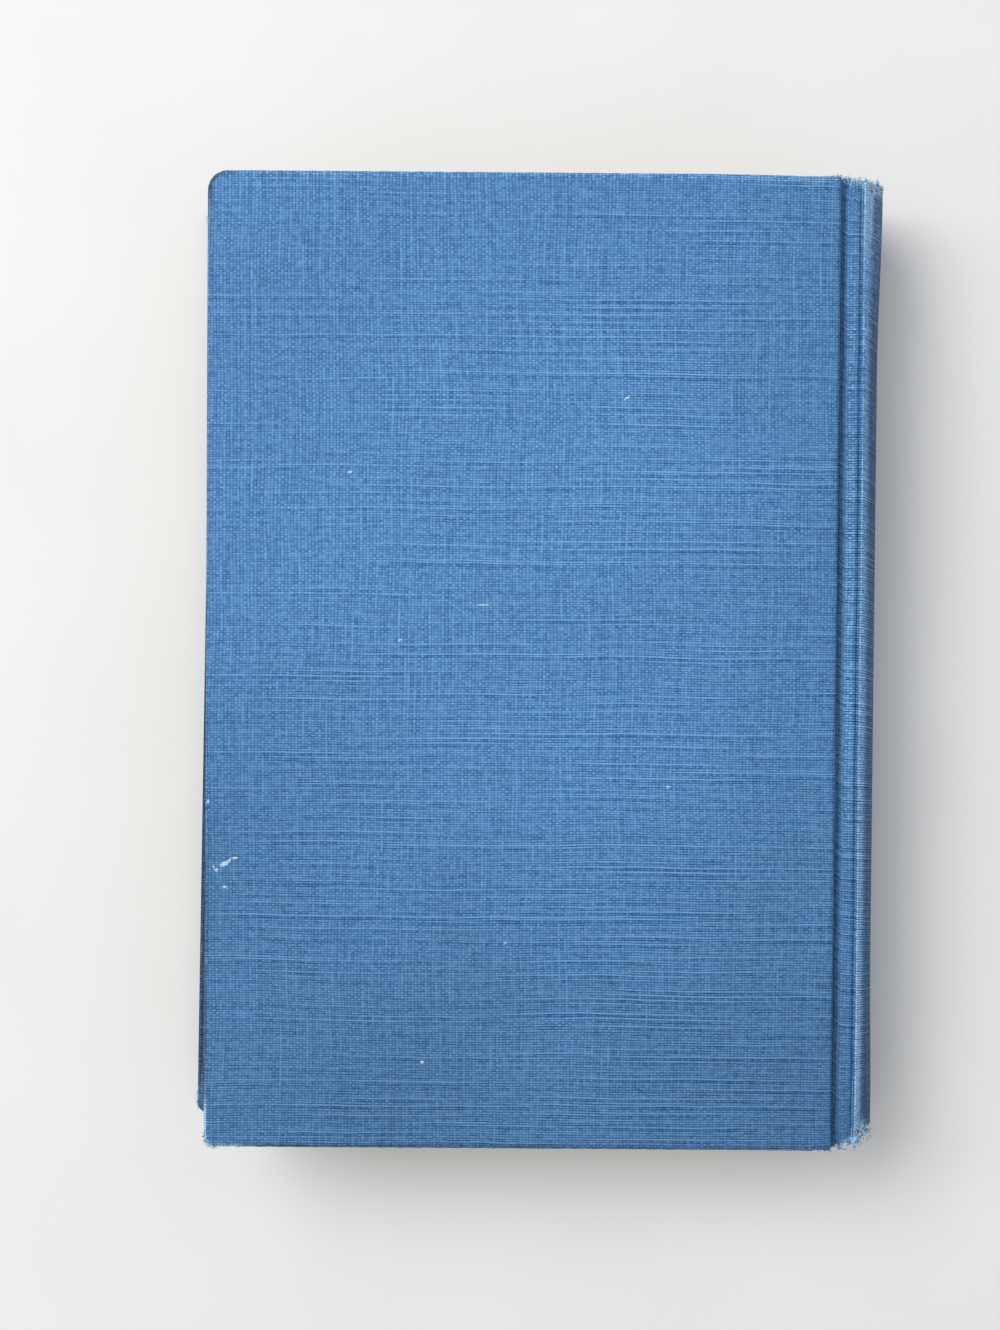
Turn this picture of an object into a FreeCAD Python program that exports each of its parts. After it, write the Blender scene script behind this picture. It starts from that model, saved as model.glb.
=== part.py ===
import FreeCAD
import Part
import math
import os

# A cloth-cased hardback book, lying on its front cover with the back cover up.
# X runs from the fore-edge to the spine, Y from the tail to the head and Z from the front cover
# to the back cover. The origin is under the middle of the closed book. Sizes are in millimetres.
# The two covers open on the cloth joints beside the spine. All else stays with the sewn leaves.

# The case: two boards and a spine strip, held together by one covering of cloth.
case_height = 203.0
cover_width = 130.7           # from the fore-edge to the joint, over the cloth
board_thickness = 2.4
cloth_thickness = 0.45
head_corner_radius = 3.0      # a board's rubbed corner, head and fore-edge, seen from above
tail_corner_radius = 1.7      # the same at the tail
board_edge_radius = 0.5
cloth_turn_in = 15.0          # cloth folded over onto the inside of a board or the spine strip
mitre_gap = 0.2
strip_thickness = 0.6         # card that stiffens the case's spine
spine_round = 6.8             # how far the spine strip bulges from its two edges
joint_width = 5.2             # from a board to the spine strip
ridge_drop = 0.15             # the ridge beside the joint lies this far below the cover
lean = 4.6                    # the worn book leans: its front cover has slid towards the fore-edge
front_slant = 2.4             # and that cover stands out this much more at the tail than at the head

# The leaves: folded sections, sewn through their folds, rounded and backed.
leaves_thickness = 22.0
head_square = 3.2             # how far a cover stands beyond the leaves at the head and the tail
fore_edge_square = 3.0
section_count = 12
fold_notch = 0.2
shoulder_start = 0.3          # where the leaves start to rise to the shoulder, from the board

# The sewing and what is glued over it.
sewing_stations = 6
end_station_setback = 16.0
thread_width = 1.2
thread_thickness = 0.5
mull_thickness = 0.25
mull_setback = 12.0           # the mull stops short of the leaves at the head and the tail
mull_flange_width = 25.0
glue_thickness = 0.05         # between the mull and the lining
lining_thickness = 0.2
lining_setback = 2.0
lining_margin = 1.2           # from the lining's edge to the shoulder
hollow_depth = 0.8            # free space between the lining and the spine strip
band_bead_width = 1.8
band_bead_height = 1.0
band_cloth_thickness = 0.25
band_cloth_length = 10.0
band_margin = 1.0

# The endpapers: each is one folded sheet, one half pasted to the board and one half free.
endpaper_thickness = 0.15
pastedown_margin = 3.5
paper_step_clearance = 0.2    # between the pasted paper's step and the cloth edge under it

# How the covers move.
leaf_clearance = 0.1          # between the pasted and the free half of an endpaper
joint_clearance = 0.15        # between a cover and the still part of its joint
hinge_setback = 4.3           # from a board to the line that its cover turns about
hinge_depth = 0.5             # of that line below the cover's face

# Heights, measured both ways from the middle plane between the covers.
leaves_top = leaves_thickness / 2
flyleaf_top = leaves_top + endpaper_thickness
pastedown_bottom = flyleaf_top + leaf_clearance
turn_in_bottom = pastedown_bottom + endpaper_thickness
board_bottom = turn_in_bottom + cloth_thickness
board_top = board_bottom + board_thickness
cover_top = board_top + cloth_thickness
strip_edge_height = cover_top - ridge_drop - cloth_thickness

# Layers in the joint and round the back, measured outwards from the leaves.
mull_inside = 2 * endpaper_thickness
mull_outside = mull_inside + mull_thickness
lining_inside = mull_outside + glue_thickness
lining_outside = lining_inside + lining_thickness
strip_inside = lining_outside + hollow_depth
strip_outside = strip_inside + strip_thickness

# Half heights along the spine.
case_half = case_height / 2
leaves_half = case_half - head_square
mull_half = leaves_half - mull_setback
lining_half = leaves_half - lining_setback

# The round of the spine strip: a circle through its two edges.
strip_chord = math.hypot(lean, 2 * strip_edge_height)
strip_radius = (strip_chord ** 2 / 4 + spine_round ** 2) / (2 * spine_round)
leaves_radius = strip_radius - strip_outside
centre_to_chord = strip_radius - spine_round
round_centre_x = joint_width - lean / 2 - centre_to_chord * 2 * strip_edge_height / strip_chord
round_centre_height = centre_to_chord * lean / strip_chord

# Everything is shifted along X so that the closed book is centred on the origin.
fore_edge_limit = -cover_width - lean - front_slant / 2
spine_limit = round_centre_x + strip_radius + cloth_thickness
back_joint_x = -(fore_edge_limit + spine_limit) / 2
front_joint_x = back_joint_x - lean
round_centre_x += back_joint_x

# The length of a leaf, from the fold to the fore-edge, follows from the back cover's square.
back_fold_reach = math.sqrt(leaves_radius ** 2 - (leaves_top - round_centre_height) ** 2)
leaf_length = round_centre_x + back_fold_reach - (back_joint_x - cover_width + fore_edge_square)


def direction(angle):
    """The unit vector at an angle in the X and height plane."""
    return (math.cos(angle), math.sin(angle))


def along(start, angle, distance):
    """The point at a distance from a start point."""
    dx, dh = direction(angle)
    return (start[0] + distance * dx, start[1] + distance * dh)


class Side:
    """One side of the book, in X and height from the middle plane: the back (1) or the front (-1)."""

    def __init__(self, sign, joint_x, slant):
        self.sign = sign
        self.joint_x = joint_x
        self.still_x = joint_x + joint_clearance
        self.head_x = joint_x - cover_width + slant / 2
        self.tail_x = joint_x - cover_width - slant / 2
        self.centre = (round_centre_x, sign * round_centre_height)
        self.strip_edge = (joint_x + joint_width, strip_edge_height)
        self.edge_angle = math.atan2(
            self.strip_edge[1] - self.centre[1], self.strip_edge[0] - self.centre[0]
        )
        # The shoulder: an arc that leaves the flat of the leaves and ends at the outermost fold.
        self.tip = along(self.centre, self.edge_angle, leaves_radius)
        self.rise_x = joint_x + shoulder_start
        run = self.tip[0] - self.rise_x
        rise = self.tip[1] - leaves_top
        self.rise_radius = (run ** 2 + rise ** 2) / (2 * rise)
        self.rise_centre = (self.rise_x, leaves_top + self.rise_radius)
        self.rise_angle = math.asin(run / self.rise_radius)
        self.rise_normal = math.pi / 2 + self.rise_angle
        # The cloth leaves the mull at this angle about the tip and runs straight to the strip.
        tangent = self.edge_angle + math.acos(mull_outside / strip_outside)
        self.leave_angle = min(tangent, self.rise_normal)
        leave = along(self.tip, self.leave_angle, mull_outside)
        line = math.atan2(self.strip_edge[1] - leave[1], self.strip_edge[0] - leave[0])
        self.line_normal = line + math.pi / 2

    def point(self, place, y=0.0):
        return FreeCAD.Vector(place[0], y, middle + self.sign * place[1])

    def line(self, start, end):
        return Part.LineSegment(self.point(start), self.point(end)).toShape()

    def arc(self, centre, radius, start, end):
        places = [along(centre, a, radius) for a in (start, (start + end) / 2, end)]
        return Part.Arc(*[self.point(p) for p in places]).toShape()

    def block(self, low, high, bottom, top):
        """A block between two corners in X and Y, from one height to another."""
        size = (high[0] - low[0], high[1] - low[1], top - bottom)
        base = min(middle + self.sign * bottom, middle + self.sign * top)
        return Part.makeBox(*size, FreeCAD.Vector(low[0], low[1], base))

    def slab(self, inset, half, high_x, bottom, top):
        """A slab whose fore-edge follows the cover's own, at an inset from it."""
        base = min(middle + self.sign * bottom, middle + self.sign * top)
        corners = [
            FreeCAD.Vector(self.tail_x + inset, -half, base),
            FreeCAD.Vector(high_x, -half, base),
            FreeCAD.Vector(high_x, half, base),
            FreeCAD.Vector(self.head_x + inset, half, base),
        ]
        plan = Part.Face(Part.makePolygon(corners + corners[:1]))
        return plan.extrude(FreeCAD.Vector(0, 0, top - bottom))

    def joint_floor(self, offset, end_angle):
        """The joint's floor at an offset from the leaves: flat, then up the shoulder's rise."""
        height = leaves_top + offset
        radius = self.rise_radius - offset
        low = -math.pi / 2
        return [
            self.line((self.still_x, height), (self.rise_x, height)),
            self.arc(self.rise_centre, radius, low, low + end_angle),
        ]


middle = cover_top
back = Side(1, back_joint_x, 0)
front = Side(-1, front_joint_x, front_slant)


def solid_from(edges, length):
    """Closes edges into one face in the XZ plane and extrudes it evenly about Y = 0."""
    face = Part.Face(Part.Wire(Part.__sortEdges__(edges)))
    face.translate(FreeCAD.Vector(0, -length / 2, 0))
    return face.extrude(FreeCAD.Vector(0, length, 0))


def round_arc(radius, back_angle=None, front_angle=None):
    """The arc about the spine's centre from the back side's edge to the front side's edge."""
    start = back.edge_angle if back_angle is None else back_angle
    end = -(front.edge_angle if front_angle is None else front_angle)
    return back.arc(back.centre, radius, start, end)


def ends(edge):
    return [edge.valueAt(edge.FirstParameter), edge.valueAt(edge.LastParameter)]


def curved_strip(inside, outside, margin, y_low, y_high):
    """A strip curved round the spine, between two offsets from the leaves' folds."""
    radii = (leaves_radius + inside, leaves_radius + outside)
    inset = margin / radii[0]
    angles = (back.edge_angle - inset, front.edge_angle - inset)
    arcs = [round_arc(r, *angles) for r in radii]
    ends = [
        side.line(along(side.centre, angle, radii[0]), along(side.centre, angle, radii[1]))
        for side, angle in zip((back, front), angles)
    ]
    strip = solid_from(arcs + ends, y_high - y_low)
    strip.translate(FreeCAD.Vector(0, (y_low + y_high) / 2, 0))
    return strip


def thread_rows():
    """The chain of thread at each sewing station, across all the folds."""
    first = -(leaves_half - end_station_setback)
    pitch = -2 * first / (sewing_stations - 1)
    places = [first + i * pitch for i in range(sewing_stations)]
    half = thread_width / 2
    inside = mull_inside - thread_thickness
    return [curved_strip(inside, mull_inside, lining_margin, y - half, y + half) for y in places]


def leaves():
    """The sewn leaves: rounded folds at the back, shoulders beside them, a hollow fore-edge."""
    edges = []
    for side in (back, front):
        reach = math.sqrt(leaves_radius ** 2 - (leaves_top - side.centre[1]) ** 2)
        corner = (side.centre[0] + reach - leaf_length, leaves_top)
        edges.append(side.line(corner, (side.rise_x, leaves_top)))
        low = -math.pi / 2
        edges.append(side.arc(side.rise_centre, side.rise_radius, low, low + side.rise_angle))
    # Each section shows one rounded fold, with a notch between it and the next. The outermost
    # folds are half folds, which leave the shoulder's tip along the round.
    turn = (back.edge_angle + front.edge_angle) / section_count
    depths = [(fold_notch, 0, fold_notch)] * section_count
    depths[0] = (0, fold_notch / 4, fold_notch)
    depths[-1] = (fold_notch, fold_notch / 4, 0)
    for i, fold in enumerate(depths):
        start = back.edge_angle - i * turn
        places = [
            along(back.centre, start - k * turn / 2, leaves_radius - depth)
            for k, depth in enumerate(fold)
        ]
        edges.append(Part.Arc(*[back.point(p) for p in places]).toShape())
    # The fore-edge is the round of the back, one leaf's length away.
    hollow_centre = (round_centre_x - leaf_length, round_centre_height)
    top = math.asin((leaves_top - round_centre_height) / leaves_radius)
    bottom = -math.asin((leaves_top + round_centre_height) / leaves_radius)
    edges.append(back.arc(hollow_centre, leaves_radius, top, bottom))
    block = solid_from(edges, 2 * leaves_half)
    for row in thread_rows():
        block = block.cut(row)
    return block


def mull():
    """Open cloth glued over the sewing, from one joint round the back to the other."""
    edges = []
    for side in (back, front):
        for offset in (mull_inside, mull_outside):
            edges += side.joint_floor(offset, side.rise_angle)
            edges.append(side.arc(side.tip, offset, side.rise_normal, side.edge_angle))
        bottom = (side.still_x, leaves_top + mull_inside)
        edges.append(side.line(bottom, (side.still_x, leaves_top + mull_outside)))
    edges += [round_arc(leaves_radius + offset) for offset in (mull_inside, mull_outside)]
    return solid_from(edges, 2 * mull_half)


def end_band(y_sign):
    """A bead that sits on the leaves behind the folds, on a cloth glued down the back."""
    strip_end = y_sign * leaves_half
    y_low, y_high = sorted((y_sign * (leaves_half - band_cloth_length), strip_end))
    cloth = curved_strip(0, band_cloth_thickness, band_margin, y_low, y_high)
    inside = band_cloth_thickness - band_bead_width
    y_low, y_high = sorted((strip_end, strip_end + y_sign * band_bead_height))
    bead = curved_strip(inside, band_cloth_thickness, band_margin, y_low, y_high)
    outer_y = strip_end + y_sign * band_bead_height
    rims = [e for e in bead.Edges if all(abs(v.y - outer_y) < 1e-6 for v in ends(e))]
    long_rims = [e for e in rims if e.Length > band_bead_width + 1e-6]
    return bead.makeChamfer(band_bead_width / 4, long_rims).fuse(cloth)


def flyleaf(side):
    """The free half of an endpaper, with the fold that runs up the shoulder and back."""
    reach = math.sqrt(leaves_radius ** 2 - (leaves_top - side.centre[1]) ** 2)
    corner_x = side.centre[0] + reach - leaf_length
    fold_angle = side.rise_angle - endpaper_thickness / side.rise_radius
    low = -math.pi / 2
    fold = [
        along(side.rise_centre, low + fold_angle, side.rise_radius - offset)
        for offset in (0, mull_inside)
    ]
    corners = [
        (side.still_x, leaves_top + mull_inside),
        (side.still_x, flyleaf_top),
        (corner_x, flyleaf_top),
        (corner_x, leaves_top),
        (side.rise_x, leaves_top),
    ]
    edges = side.joint_floor(mull_inside, fold_angle)
    edges += [side.line(a, b) for a, b in zip(corners, corners[1:])]
    edges.append(side.arc(side.rise_centre, side.rise_radius, low, low + fold_angle))
    edges.append(side.line(*fold))
    return solid_from(edges, 2 * leaves_half)


def spine_cloth():
    """The cloth over both joints and the spine strip, turned in over the strip's two ends."""
    edges = []
    outside = mull_outside + cloth_thickness
    for side in (back, front):
        for offset in (mull_outside, outside):
            edges += side.joint_floor(offset, side.rise_angle)
            if side.leave_angle < side.rise_normal:
                edges.append(side.arc(side.tip, offset, side.rise_normal, side.leave_angle))
        bottom = (side.still_x, leaves_top + mull_outside)
        edges.append(side.line(bottom, (side.still_x, leaves_top + outside)))
        # The ridge: straight up from the joint and over the edge of the spine strip.
        edge_top = along(side.strip_edge, side.line_normal, cloth_thickness)
        edges.append(side.line(along(side.tip, side.leave_angle, mull_outside), side.strip_edge))
        edges.append(side.line(along(side.tip, side.leave_angle, outside), edge_top))
        turn = (side.line_normal, side.edge_angle)
        edges.append(side.arc(side.strip_edge, cloth_thickness, *turn))
    edges += [round_arc(strip_radius + offset) for offset in (0, cloth_thickness)]
    cloth = solid_from(edges, case_height)
    for y_sign in (1, -1):
        y_end = y_sign * case_half
        y_strip = y_sign * (case_half - cloth_thickness)
        y_turned = y_sign * (case_half - cloth_turn_in)
        turned = strip_inside - cloth_thickness
        cap = curved_strip(turned, strip_outside, 0, *sorted((y_strip, y_end)))
        inner = curved_strip(turned, strip_inside, 0, *sorted((y_turned, y_end)))
        cloth = cloth.fuse([cap, inner])
    return cloth.removeSplitter()


def spine_strip():
    half = case_half - cloth_thickness
    return curved_strip(strip_inside, strip_outside, 0, -half, half)


def level_edges(shape, height):
    """The edges of a shape that lie level at one height."""
    near = 1e-6
    return [e for e in shape.Edges if max(abs(v.z - height) for v in ends(e)) < near]


def is_inside_of(edge, joint_x):
    return min(v.x for v in ends(edge)) < joint_x - 1e-6


def corner_slab(side, inset, half, high_x, bottom, top, growth=0):
    """A slab with its two fore-edge corners rounded, which grow with the cloth over them."""
    slab = side.slab(inset, half, high_x, bottom, top)
    for y_sign, radius in ((1, head_corner_radius), (-1, tail_corner_radius)):
        corner = [
            e
            for e in slab.Edges
            if is_inside_of(e, high_x) and min(y_sign * v.y for v in ends(e)) > 0
            and abs(ends(e)[0].z - ends(e)[1].z) > board_thickness / 2
        ]
        slab = slab.makeFillet(radius + growth, corner)
    return slab


def board(side):
    """A binder's board, its outer corners and the edges of its outer face rubbed round."""
    half = case_half - cloth_thickness
    sizes = (half, side.joint_x, board_bottom, board_top)
    slab = corner_slab(side, cloth_thickness, *sizes)
    rims = level_edges(slab, middle + side.sign * board_top)
    return slab.makeFillet(board_edge_radius, [e for e in rims if is_inside_of(e, side.joint_x)])


def cover_cloth(side, boarding):
    """The cloth over a board: outside, round three edges and turned in, and down the joint."""
    wall_x = side.joint_x + cloth_thickness
    edge_radius = board_edge_radius + cloth_thickness
    sizes = (case_half, wall_x, turn_in_bottom, cover_top)
    cloth = corner_slab(side, 0, *sizes, cloth_thickness)
    cloth = cloth.makeFillet(edge_radius, level_edges(cloth, middle + side.sign * cover_top))
    rims = level_edges(cloth, middle + side.sign * turn_in_bottom)
    cloth = cloth.makeFillet(cloth_thickness, [e for e in rims if is_inside_of(e, wall_x)])
    # The cloth's wall at the joint stops just above the joint's floor.
    floor_top = leaves_top + mull_outside + cloth_thickness + joint_clearance
    low = (side.joint_x, -case_half)
    below_wall = side.block(low, (wall_x, case_half), turn_in_bottom, floor_top)
    window_half = case_half - cloth_turn_in
    window = side.slab(cloth_turn_in, window_half, wall_x, turn_in_bottom, board_bottom)
    cloth = cloth.cut([boarding, below_wall, window])
    # The turned-in cloth meets in a mitre at each outer corner.
    base = min(middle + side.sign * turn_in_bottom, middle + side.sign * board_bottom)
    for y_sign, corner_x in ((1, side.head_x), (-1, side.tail_x)):
        slit = Part.makeBox(cloth_turn_in * math.sqrt(2), mitre_gap, cloth_thickness)
        slit.translate(FreeCAD.Vector(tail_corner_radius, -mitre_gap / 2, base))
        slit.rotate(FreeCAD.Vector(0, 0, 0), FreeCAD.Vector(0, 0, 1), -45 * y_sign)
        slit.translate(FreeCAD.Vector(corner_x, y_sign * case_half, 0))
        cloth = cloth.cut(slit)
    return cloth


def mull_flange(side):
    """The mull's flap, glued to the inside of a board."""
    low = (side.joint_x - mull_flange_width, -mull_half)
    high = (side.joint_x, mull_half)
    return side.block(low, high, board_bottom - mull_thickness, board_bottom)


def pastedown(side):
    """The pasted half of an endpaper, pressed down past the turned-in cloth to the board."""
    fore_edge = max(side.head_x, side.tail_x)
    low = (fore_edge + pastedown_margin, -case_half + pastedown_margin)
    high = (side.joint_x, case_half - pastedown_margin)
    sheet = side.block(low, high, pastedown_bottom, turn_in_bottom)
    inset = cloth_turn_in + paper_step_clearance
    low = (fore_edge + inset, -case_half + inset)
    flange_end = side.joint_x - mull_flange_width - paper_step_clearance
    high = (flange_end, case_half - inset)
    pressed = side.block(low, high, pastedown_bottom, board_bottom)
    wall = endpaper_thickness
    low = (low[0] + wall, low[1] + wall)
    high = (high[0] - wall, high[1] - wall)
    dish = side.block(low, high, pastedown_bottom, board_bottom - wall)
    return sheet.fuse(pressed).removeSplitter().cut(dish)


def cover(side, name):
    """The pieces that one cover takes with it when it opens."""
    boarding = board(side)
    return {
        name + "_board": boarding,
        name + "_cover_cloth": cover_cloth(side, boarding),
        name + "_mull_flange": mull_flange(side),
        name + "_pastedown": pastedown(side),
    }


def book():
    """Every piece of the book by name."""
    pieces = {
        "leaves": leaves(),
        "sewing_thread": Part.makeCompound(thread_rows()),
        "mull": mull(),
        "spine_lining": curved_strip(
            lining_inside, lining_outside, lining_margin, -lining_half, lining_half
        ),
        "head_band": end_band(1),
        "tail_band": end_band(-1),
        "back_flyleaf": flyleaf(back),
        "front_flyleaf": flyleaf(front),
        "spine_strip": spine_strip(),
        "spine_cloth": spine_cloth(),
    }
    pieces.update(cover(back, "back"))
    pieces.update(cover(front, "front"))
    return pieces


def main():
    os.makedirs("parts", exist_ok=True)
    for name, shape in book().items():
        shape.exportStep(os.path.join("parts", name + ".step"))
        valid = shape.isValid() and all(s.isClosed() for s in shape.Solids)
        print(f"{name}: {len(shape.Solids)} solid, {shape.Volume:.1f} mm3, sound {valid}")
    thickness = 2 * cover_top
    print(f"closed book: {spine_limit - fore_edge_limit:.3f} x {case_height} x {thickness:.3f}")
    for side, name in ((back, "back"), (front, "front")):
        x = side.joint_x + hinge_setback
        z = middle + side.sign * (cover_top - hinge_depth)
        print(f"{name} cover turns about X {x:.3f}, Z {z:.3f}")


main()
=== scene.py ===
import math
import random

import bmesh
import bpy
from mathutils import Euler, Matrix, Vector


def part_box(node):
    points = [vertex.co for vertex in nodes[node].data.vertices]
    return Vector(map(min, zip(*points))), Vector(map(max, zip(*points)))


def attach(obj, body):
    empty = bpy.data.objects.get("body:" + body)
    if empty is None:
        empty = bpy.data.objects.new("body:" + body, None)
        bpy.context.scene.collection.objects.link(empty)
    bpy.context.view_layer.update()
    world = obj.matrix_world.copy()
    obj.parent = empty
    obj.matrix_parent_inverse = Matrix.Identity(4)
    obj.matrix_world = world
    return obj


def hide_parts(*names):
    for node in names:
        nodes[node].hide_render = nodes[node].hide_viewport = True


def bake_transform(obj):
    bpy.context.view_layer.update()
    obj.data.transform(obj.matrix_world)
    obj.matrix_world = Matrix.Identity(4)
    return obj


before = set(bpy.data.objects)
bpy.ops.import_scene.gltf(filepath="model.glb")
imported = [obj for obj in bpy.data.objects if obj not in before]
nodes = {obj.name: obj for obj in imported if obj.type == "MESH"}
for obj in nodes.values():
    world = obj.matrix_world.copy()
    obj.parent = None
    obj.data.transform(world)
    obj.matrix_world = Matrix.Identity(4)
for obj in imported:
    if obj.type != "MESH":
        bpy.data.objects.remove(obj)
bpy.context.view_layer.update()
MM = 0.001


# The floor the book lies on, the soft light over it and the camera above it.
# The book lies on its front cover, so the camera looks down on the back cover.
def srgb(red, green, blue):
    """A colour written as it looks, as the linear values that a material takes."""
    parts = [c / 255 for c in (red, green, blue)]
    return tuple(c / 12.92 if c < 0.04045 else ((c + 0.055) / 1.055) ** 2.4 for c in parts) + (1,)


class Value:
    """A number, colour or vector inside one material, so that its maths reads as plain Python."""

    def __init__(self, tree, socket=None):
        self.tree = tree
        self.socket = socket

    def node(self, kind, settings=None, inputs=None, output=0):
        """Adds a node: its settings first, then the values or links of its sockets."""
        node = self.tree.nodes.new(kind)
        for name, value in (settings or {}).items():
            setattr(node, name, value)
        for name, value in (inputs or {}).items():
            if isinstance(value, Value):
                self.tree.links.new(value.socket, node.inputs[name])
            else:
                node.inputs[name].default_value = value
        return Value(self.tree, node.outputs[output])

    def math(self, operation, *values):
        return self.node("ShaderNodeMath", {"operation": operation}, dict(enumerate(values)))

    def __add__(self, other):
        return self.math("ADD", self, other)

    def __mul__(self, other):
        return self.math("MULTIPLY", self, other)

    def __sub__(self, other):
        return self.math("SUBTRACT", self, other)

    def __rsub__(self, other):
        return self.math("SUBTRACT", other, self)

    __radd__ = __add__
    __rmul__ = __mul__

    def floor(self):
        return self.math("FLOOR", self)

    def ramp(self, low, high):
        """Rises smoothly from 0 at low to 1 at high."""
        settings = {"interpolation_type": "SMOOTHSTEP"}
        return self.node("ShaderNodeMapRange", settings, {0: self, 1: low, 2: high, 3: 0.0, 4: 1.0})

    def parts(self):
        split = self.node("ShaderNodeSeparateXYZ", {}, {0: self})
        outputs = split.socket.node.outputs
        return [Value(self.tree, outputs[i]) for i in range(3)]

    def vector(self, x, y, z=0.0):
        return self.node("ShaderNodeCombineXYZ", {}, {0: x, 1: y, 2: z})

    def noise(self, place, scale=1.0, detail=2.0, roughness=0.5):
        inputs = {"Vector": place, "Scale": scale, "Detail": detail, "Roughness": roughness}
        return self.node("ShaderNodeTexNoise", {}, inputs)

    def chance(self, x, y=0.0):
        """A random number for each whole x and y."""
        return self.node("ShaderNodeTexWhiteNoise", {}, {"Vector": self.vector(x, y)})

    def mix(self, first, second, share):
        """A colour between two."""
        return self.node("ShaderNodeMix", {"data_type": "RGBA"}, {6: first, 7: second, 0: share}, 2)

    def scaled(self, factor):
        """A colour made lighter or darker by a number."""
        settings = {"operation": "SCALE"}
        return self.node("ShaderNodeVectorMath", settings, {"Vector": self, "Scale": factor})

    def attribute(self, name, output="Fac"):
        return self.node("ShaderNodeAttribute", {"attribute_name": name}, output=output)

    def object_place(self):
        """The place in the object, in millimetres."""
        place = self.node("ShaderNodeTexCoord", output="Object")
        settings = {"operation": "SCALE"}
        return self.node("ShaderNodeVectorMath", settings, {"Vector": place, "Scale": 1 / MM})

    def grain(self, x, y, z, detail=2.0, roughness=0.5):
        """Noise through the object, with so many turns to a millimetre along each axis."""
        inputs = {0: self.object_place(), 1: (x, y, z)}
        place = self.node("ShaderNodeVectorMath", {"operation": "MULTIPLY"}, inputs)
        return self.noise(place, 1.0, detail, roughness)


def material(name, **sockets):
    """A new material with constants set on its shader's own sockets, and its first value."""
    made = bpy.data.materials.new(name)
    made.use_nodes = True
    shader = made.node_tree.nodes["Principled BSDF"]
    for socket, value in sockets.items():
        shader.inputs[socket.replace("_", " ")].default_value = value
    return made, Value(made.node_tree)


def surface(made, colour, roughness, height=None, depth=0.1):
    """Joins colour, roughness and a bump height, with its depth in millimetres, to the shader."""
    tree = made.node_tree
    shader = tree.nodes["Principled BSDF"]
    tree.links.new(colour.socket, shader.inputs["Base Color"])
    tree.links.new(roughness.socket, shader.inputs["Roughness"])
    if height is not None:
        inputs = {"Height": height, "Distance": depth * MM, "Strength": 1.0}
        bump = height.node("ShaderNodeBump", {}, inputs)
        tree.links.new(bump.socket, shader.inputs["Normal"])


def add_object(name, data):
    made = bpy.data.objects.new(name, data)
    bpy.context.scene.collection.objects.link(made)
    return made


def dress(node, made):
    """Gives a solid of the frame a better material."""
    mesh = nodes[node].data
    mesh.materials.clear()
    mesh.materials.append(made)


floor_reach = 2.5
floor_mesh = bpy.data.meshes.new("floor")
floor_corners = [(x * floor_reach, y * floor_reach, 0) for x, y in ((-1, -1), (1, -1), (1, 1), (-1, 1))]
floor_mesh.from_pydata(floor_corners, [], [(0, 1, 2, 3)])
floor = add_object("floor", floor_mesh)
floor_paint, floor_value = material("floor_paint", Roughness=0.9)
floor_grain = floor_value.grain(0.02, 0.02, 0.02, 3.0)
floor_colour = floor_value.mix(srgb(226, 224, 220), srgb(234, 232, 229), floor_grain)
surface(floor_paint, floor_colour, floor_grain * 0.1 + 0.8)
floor_mesh.materials.append(floor_paint)

world = bpy.data.worlds.new("room")
world.use_nodes = True
background = world.node_tree.nodes["Background"]
background.inputs["Color"].default_value = (0.93, 0.96, 1, 1)
background.inputs["Strength"].default_value = 0.62
bpy.context.scene.world = world

# One wide, soft window to the left, with the pale room all round.
window_light = bpy.data.lights.new("window_light", "AREA")
window_light.shape = "RECTANGLE"
window_light.size = 1.1
window_light.size_y = 0.8
window_light.energy = 16.0
window_light.color = (0.97, 0.98, 1)
window = add_object("window_light", window_light)
window.location = (-0.75, 0.55, 1.1)
window.rotation_euler = (-window.location).to_track_quat("-Z", "Y").to_euler()

# The camera's place and turn were fitted to the book's edges in the photo.
camera_place = Vector((-6.14, 6.05, 388.64))
camera_turn = (-1.035, 0.051, 0.436)
camera_data = bpy.data.cameras.new("camera")
camera_data.lens = 46.89
camera_data.sensor_width = 36
camera = add_object("camera", camera_data)
camera.location = camera_place * MM
camera.rotation_euler = Euler([math.radians(a) for a in camera_turn], "XYZ")
bpy.context.scene.camera = camera
bpy.context.scene.view_settings.view_transform = "Standard"


# The leaves: about three hundred leaves of uncoated book paper in folded, sewn sections,
# trimmed at the head, the tail and the fore-edge, and toned by age from the edges inwards.
paper, ink = material("page_edges", Specular_IOR_Level=0.25)
layers = ink.grain(0.015, 0.012, 7.0, 3.0, 0.7)
gatherings = ink.grain(0.02, 0.02, 0.9)
blotches = ink.grain(0.06, 0.06, 0.06, 3.0)
page_tone = ink.mix(srgb(176, 158, 128), srgb(226, 212, 184), layers.ramp(0.3, 0.68))
page_tone = ink.mix(page_tone, srgb(196, 176, 142), gatherings.ramp(0.45, 0.75) * 0.55)
page_tone = ink.mix(page_tone, srgb(168, 144, 108), blotches.ramp(0.5, 0.8) * 0.45)
surface(paper, page_tone, layers * 0.1 + 0.82, layers, 0.12)
dress("leaves", paper)


# The sewing: linen thread, run through the folds of every section and looped at six stations,
# where it shows as chains across the back.
linen, ink = material("linen_thread", Specular_IOR_Level=0.3)
ply = ink.grain(3.0, 9.0, 3.0)
linen_tone = ink.mix(srgb(186, 172, 140), srgb(232, 224, 200), ply)
surface(linen, linen_tone, ply * 0.1 + 0.7, ply, 0.1)
dress("sewing_thread", linen)


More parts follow.
